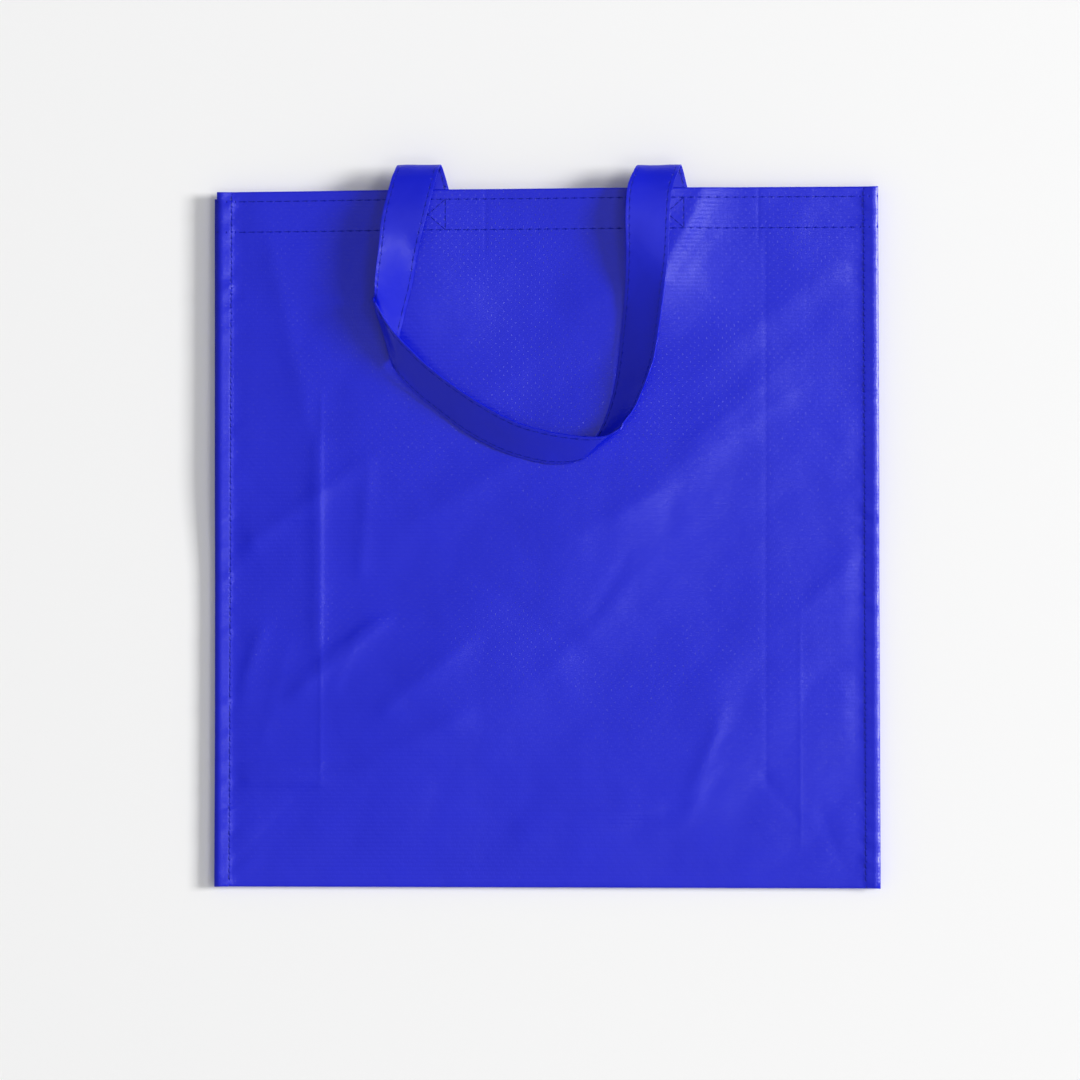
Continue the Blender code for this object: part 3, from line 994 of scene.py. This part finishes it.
def back_route():
    """Down the back from each bend over the mouth, with a mitre fold into the cross run."""
    lower = strap_thickness / 2
    upper = lower + strap_layer
    cross_y = bag_height - back_loop_reach
    half = strap_width / 2
    sections = root_sections(-1, False)
    outer = -handle_spacing / 2 - half
    inner = outer + strap_width
    inside = sections[-1][0].z

    def level_section(first, second, z):
        """A level section under the bag, at a height."""
        return place(*first, z, 1), place(*second, z, 1)

    for angle in range(15, 180, 15):
        turn = math.radians(angle)
        y = bag_height + back_bend_rise * math.sin(turn)
        z = (inside + lower) / 2 + (inside - lower) / 2 * math.cos(turn)
        sections.append(level_section((outer, y), (inner, y), z))
    sections.append(level_section((outer, bag_height), (inner, bag_height), lower))
    top = cross_y + half
    sections.append(level_section((outer, top + half), (inner, top + half), upper))
    fold = level_section((outer, top), (inner, cross_y - half), upper)
    under = tuple(Vector((point.x, point.y, lower)) for point in fold)
    sections.append(fold)
    sections += half_turn(fold, under, Vector((-strap_layer, -strap_layer, 0)) / math.sqrt(8))
    sections.append(under)
    start = inner + half
    sections.append(level_section((start, top), (start, cross_y - half), lower))
    right = [level_section((-start, top), (-start, cross_y - half), lower)]
    mirrored = []
    for first, second in reversed(sections):
        mirrored.append((first * Vector((-1, 1, 1)), second * Vector((-1, 1, 1))))
    found = filled(sections + right + mirrored[1:])
    return [(leaning(first), leaning(second)) for first, second in found]


back_sections = back_route()
print("The back handle has", len(back_sections), "sections")

# %% [markdown]
# ## Sewn strips
#
# The edges of a strip pucker between its stitches, and the strip swells a little between its two
# rows of stitches. Bump alone would leave its outline smooth, so this is in the mesh.

# %% The strip's skin

def travelled(sections):
    """Length along the strap's middle up to each section."""
    found = [0]
    for near, far in zip(sections, sections[1:]):
        step = ((near[0] + near[1]) / 2 - (far[0] + far[1]) / 2).length
        found.append(found[-1] + step)
    return found


def strap_normals(sections):
    """The direction that each section's face points in, upwards at the strap's middle."""
    found = []
    for i, (first, second) in enumerate(sections):
        near, far = sections[max(i - 1, 0)], sections[min(i + 1, len(sections) - 1)]
        along = (far[0] + far[1]) / 2 - (near[0] + near[1]) / 2
        if along.length < 1e-6:
            along = far[0] - near[0]
        found.append((second - first).cross(along).normalized())
    return found


def strap_bulge(share, run, seed):
    """How far the strip's skin stands off its middle plane's plain place."""
    edge = max(0, abs(2 * share - 1) - 0.72) / 0.28
    swell = 0.00012 * math.cos(math.pi * (share - 0.5))
    wave = noise.noise(Vector((run / 0.0055, seed + 4 * (share > 0.5), 0)))
    long_wave = noise.noise(Vector((run / 0.035, seed, 2 * share)))
    return swell + 0.0005 * edge * wave + 0.0006 * long_wave


print("The front strap is", round(travelled(front_sections)[-1], 3), "m long")

# %% [markdown]
# The strip is a narrow grid that is laid along its sections. Its thickness comes from Solidify and
# its rounded edges from Bevel.

# %% Make the straps
strap_columns = (0, 0.03, 0.084, 0.14, 0.25, 0.5, 0.75, 0.86, 0.916, 0.97, 1)


def strap_mesh(name, sections, seed):
    """A strap along its sections, with its pattern as a texture map."""
    rows = len(sections) - 1
    columns = len(strap_columns) - 1
    mesh = bmesh.new()
    bmesh.ops.create_grid(mesh, x_segments=columns, y_segments=rows, size=1)
    runs, normals = travelled(sections), strap_normals(sections)
    for vert in mesh.verts:
        share = strap_columns[round((vert.co.x + 1) / 2 * columns)]
        vert.co = ((share - 0.5) * strap_width, round((vert.co.y + 1) / 2 * rows), 0)
    pattern = mesh.loops.layers.uv.new("pattern")
    for face in mesh.faces:
        for corner in face.loops:
            spot = corner.vert.co
            corner[pattern].uv = (spot.x, runs[round(spot.y)])
    for vert in mesh.verts:
        share, row = vert.co.x / strap_width + 0.5, round(vert.co.y)
        first, second = sections[row]
        offset = normals[row] * strap_bulge(share, runs[row], seed)
        vert.co = first.lerp(second, share) + offset
        vert.co.z = max(vert.co.z, strap_thickness / 2 + thread_room)
    made = finish(name, mesh, strap_thickness - 0.0001, strap_film)
    edge = made.modifiers.new("Rounded edges", "BEVEL")
    edge.width = 0.0003
    edge.segments = 2
    edge.limit_method = "ANGLE"
    edge.angle_limit = math.radians(60)
    return made


front_strap = strap_mesh("front_strap", front_sections, 2)
back_strap = strap_mesh("back_strap", back_sections, 31)
for made, node in ((front_strap, "front_handle"), (back_strap, "back_handle")):
    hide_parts(node)

# %% [markdown]
# ## Stitches
#
# Every stitch is a small spindle that lies on the sheet between two needle holes. It could be
# painted on, but then it would cast no shadow and catch no light. There are more than a thousand,
# so each has only 30 faces. A row of stitches is a list of places, each with the direction that
# points away from the sheet.

# %% Stitch tools

def stitch(mesh, start, end, outward, thick):
    """One stitch from needle hole to needle hole."""
    along = end - start
    side = outward.cross(along).normalized()
    up = along.cross(side).normalized()
    turn = Matrix((along.normalized(), side, up)).transposed().to_4x4()
    # It fills 92% of the way between its holes, and lies a little flattened and sunk in the sheet.
    size = Matrix.Diagonal((along.length * 0.46, thick, thick * 0.8, 1))
    middle = (start + end) / 2 + up * thick * 0.35
    bmesh.ops.create_uvsphere(
        mesh, u_segments=6, v_segments=5, radius=1,
        matrix=Matrix.Translation(middle) @ turn @ size @ Matrix.Rotation(math.pi / 2, 4, "Y"),
    )


def sew(name, rows, thick):
    """An object with all stitches of some rows. A row is a list of (place, outward) pairs."""
    mesh = bmesh.new()
    # Each row is made in a small mesh of its own, because adding to a large one is slow.
    for row in rows:
        one = bmesh.new()
        for (start, outward), (end, _) in zip(row, row[1:]):
            stitch(one, start, end, outward, thick)
        data = bpy.data.meshes.new("row")
        one.to_mesh(data)
        one.free()
        mesh.from_mesh(data)
        bpy.data.meshes.remove(data)
    count = len(mesh.faces)
    made = finish(name, mesh, 0, thread)
    print(name, "has", count, "faces")
    return made


# The real thread is about 0.4 mm thick. It is drawn a little thicker, so that it shows.
body_thread_radius = 0.00026
strap_thread_radius = 0.00023
print("The thread is", round(2 * body_thread_radius * 1000, 2), "mm thick")

# %% [markdown]
# A row on a panel follows the panel's level. Two places close by give the direction away from it.

# %% Rows on a panel

def panel_spot(x, y, front):
    """A place on a panel's outer face, and the direction away from it."""
    level = front_level if front else back_level
    side = 1 if front else -1
    reach = 0.0006
    spots = []
    for dx, dy in ((0, 0), (reach, 0), (0, reach)):
        z = level(x + dx, y + dy) + side * sheet_thickness / 2
        spots.append(place(x + dx, y + dy, z, 0 if front else 1))
    outward = (spots[1] - spots[0]).cross(spots[2] - spots[0]).normalized() * side
    return spots[0], outward


def panel_row(start, end, step, front):
    """A straight row of needle holes on a panel."""
    length = math.dist(start, end)
    count = max(1, round(length / step))
    found = []
    for i in range(count + 1):
        share = i / count
        x = start[0] + (end[0] - start[0]) * share
        y = start[1] + (end[1] - start[1]) * share
        found.append(panel_spot(x, y, front))
    return found


print("A place on the hem and the way out of it:", *panel_spot(0, bag_height - hem_rows[0], True))

# %% [markdown]
# Two rows go round the hem and one down each side. A square with crossed lines holds each root of
# a handle, and the hem's own rows are its top and bottom.

# %% Sew the hems, the side seams and the handle roots

def box_rows(side, front):
    """The stitched square with crossed lines that holds a handle's root."""
    x = side * handle_spacing / 2
    half = strap_width / 2 - strap_row_inset
    high, low = (bag_height - row for row in hem_rows)
    corners = ((x - half, low), (x + half, low), (x + half, high), (x - half, high))
    pairs = [(corners[0], corners[2]), (corners[1], corners[3])]
    pairs += [(corners[1], corners[2]), (corners[3], corners[0])]
    return [panel_row(start, end, box_stitch, front) for start, end in pairs]


body_rows = []
for front in (True, False):
    for row in hem_rows:
        y = bag_height - row
        ends = (-seam_x + 0.003, y), (seam_x - 0.003, y)
        body_rows.append(panel_row(*ends, long_stitch, front))
    for side in (-1, 1):
        x = side * (seam_x + seam_row)
        body_rows.append(panel_row((x, 0.004), (x, bag_height - 0.002), seam_stitch, front))
        body_rows += box_rows(side, front)
body_thread = sew("body_stitches", body_rows, body_thread_radius)

# %% [markdown]
# A strap is sewn through, so its two rows show on both of its faces. They follow its skin.

# %% Sew the straps' edges

def strap_row(sections, share, above, seed):
    """Needle holes along a strap, 5.4 mm apart, on its upper or lower face."""
    runs, normals = travelled(sections), strap_normals(sections)
    found = []
    target = 0.002
    for i in range(len(sections) - 1):
        while runs[i + 1] > target and runs[i + 1] > runs[i]:
            part = (target - runs[i]) / (runs[i + 1] - runs[i])
            near = sections[i][0].lerp(sections[i][1], share)
            far = sections[i + 1][0].lerp(sections[i + 1][1], share)
            outward = normals[i].lerp(normals[i + 1], part).normalized() * above
            bulge = strap_bulge(share, target, seed) * above
            spot = near.lerp(far, part) + outward * (strap_thickness / 2 - 0.00005 + bulge)
            found.append((spot, outward))
            target += long_stitch
    return found


for name, sections, seed in (("front", front_sections, 2), ("back", back_sections, 31)):
    rows = []
    # Both shares are 2.1 mm from an edge.
    for share in (0.084, 0.916):
        for above in (1, -1):
            rows.append(strap_row(sections, share, above, seed))
    sew(name + "_strap_stitches", rows, strap_thread_radius)

# %% [markdown]
# ## The sheets as they were cut
#
# Each soft piece is made from a flat pattern, whose size comes from the same lengths as its folds.

print("Five sheets are made: the body, two gussets and two straps")

# %% [markdown]
# ## Floor, light and camera
#
# The bag lies on a sheet of white card, as on a photographer's table. Card is matt, so it shows
# the bag's soft shadow and no reflection of it.

# %% The floor
floor_width = 12


def white_floor():
    """A wide level sheet of card under the bag."""
    mesh = bmesh.new()
    bmesh.ops.create_grid(mesh, x_segments=1, y_segments=1, size=floor_width / 2)
    data = bpy.data.meshes.new("floor")
    mesh.to_mesh(data)
    mesh.free()
    # A little under pure white, so that the lit card keeps the bag's soft shadow.
    material, shader = new_material("white card")
    shader.inputs["Base Color"].default_value = colour("#f9f9f9")
    shader.inputs["Roughness"].default_value = 0.9
    shader.inputs["Specular IOR Level"].default_value = 0
    data.materials.append(material)
    made = bpy.data.objects.new("floor", data)
    bpy.context.scene.collection.objects.link(made)
    return made


floor = white_floor()
print("The floor is", floor.dimensions.x, "m wide")

# %% [markdown]
# Light could come from one even sky, but then the bag would show neither shadows nor highlights. So
# the sky gives a third of it, a little more from the side of the bag's bottom, and lamps the rest.

# %% Sky

def sky(mean, slant, azimuth):
    """A white sky that is brighter on one side. Azimuth is anticlockwise from the right."""
    world = bpy.data.worlds.new("soft sky")
    bpy.context.scene.world = world
    world.use_nodes = True
    world.node_tree.nodes.clear()
    direction = add_node(world, "ShaderNodeTexCoord").outputs["Generated"]
    turn = math.radians(azimuth)
    bright = (slant * math.cos(turn), slant * math.sin(turn), 0)
    side = add_node(
        world, "ShaderNodeVectorMath", {0: direction, 1: bright}, operation="DOT_PRODUCT"
    ).outputs["Value"]
    strength = add_node(world, "ShaderNodeMath", {0: side, 1: mean}, operation="ADD")
    light = add_node(
        world, "ShaderNodeBackground", {"Color": (1, 1, 1, 1), "Strength": strength}
    )
    # The camera sees plain white beyond the floor.
    seen = add_node(world, "ShaderNodeBackground", {"Color": (1, 1, 1, 1), "Strength": 1})
    rays = add_node(world, "ShaderNodeLightPath").outputs["Is Camera Ray"]
    mix = add_node(world, "ShaderNodeMixShader", {0: rays, 1: light, 2: seen})
    add_node(world, "ShaderNodeOutputWorld", {"Surface": mix})


sky_share = 0.32
sky(sky_share, 0.12, -95)
print("The sky gives", sky_share, "of full light")

# %% [markdown]
# A glossy film shows what it reflects, so each lamp has its task. The one on the right gives the
# shadows. The wide one overhead lies in the flat film as an even sheen, and two narrow ones beside
# it glint only where the film slopes. All are far away, so that they light the whole bag evenly.

# %% Lamps

def soft_lamp(name, azimuth, elevation, width, share):
    """A square lamp aimed at the bag, with its directions and its seen width in degrees.

    Azimuth is anticlockwise from the right, seen from above. The share is the part of the light
    on a level white surface that this lamp gives.
    """
    distance = 12
    turn, rise = math.radians(azimuth), math.radians(elevation)
    data = bpy.data.lights.new(name, "AREA")
    data.shape = "SQUARE"
    data.size = 2 * distance * math.tan(math.radians(width) / 2)
    data.energy = share * (math.pi * distance) ** 2 / math.sin(rise)
    lamp = bpy.data.objects.new(name, data)
    bpy.context.scene.collection.objects.link(lamp)
    flat = math.cos(rise)
    away = Vector((math.cos(turn) * flat, math.sin(turn) * flat, math.sin(rise)))
    lamp.location = away * distance
    lamp.rotation_euler = away.to_track_quat("Z", "Y").to_euler()
    lamp.visible_camera = False
    return lamp


lamps = (
    ("side lamp", 8, 32, 16, 0.46),
    ("top lamp", 30, 84, 50, 0.09),
    ("high lamp", 12, 63, 12, 0.09),
    ("low lamp", -45, 64, 12, 0.045),
)
for lamp in lamps:
    soft_lamp(*lamp)
print("The lamps give", round(sum(lamp[-1] for lamp in lamps), 3), "of full light")

# %% [markdown]
# The camera looks straight down through a long lens from 3 m up, so the bag's sides hardly show.
# The lens is worked out from how wide the picture is on the front panel.

# %% Camera

def straight_down():
    """A long lens straight above the bag."""
    # Heights of the lens and of the front panel, and the width of the picture on that panel.
    height = 3.0
    panel = 0.013
    picture_width = 0.6486
    data = bpy.data.cameras.new("camera")
    data.sensor_width = 36
    data.lens = data.sensor_width * (height - panel) / picture_width
    data.clip_start = 0.1
    data.clip_end = 20
    camera = bpy.data.objects.new("camera", data)
    bpy.context.scene.collection.objects.link(camera)
    # The bag lies a little above and to the right of the picture's middle.
    camera.location = (-0.0045, -0.0078, height)
    bpy.context.scene.camera = camera


straight_down()
scene = bpy.context.scene
scene.view_settings.view_transform = "Standard"
print("The lens is", round(scene.camera.data.lens, 1), "mm")
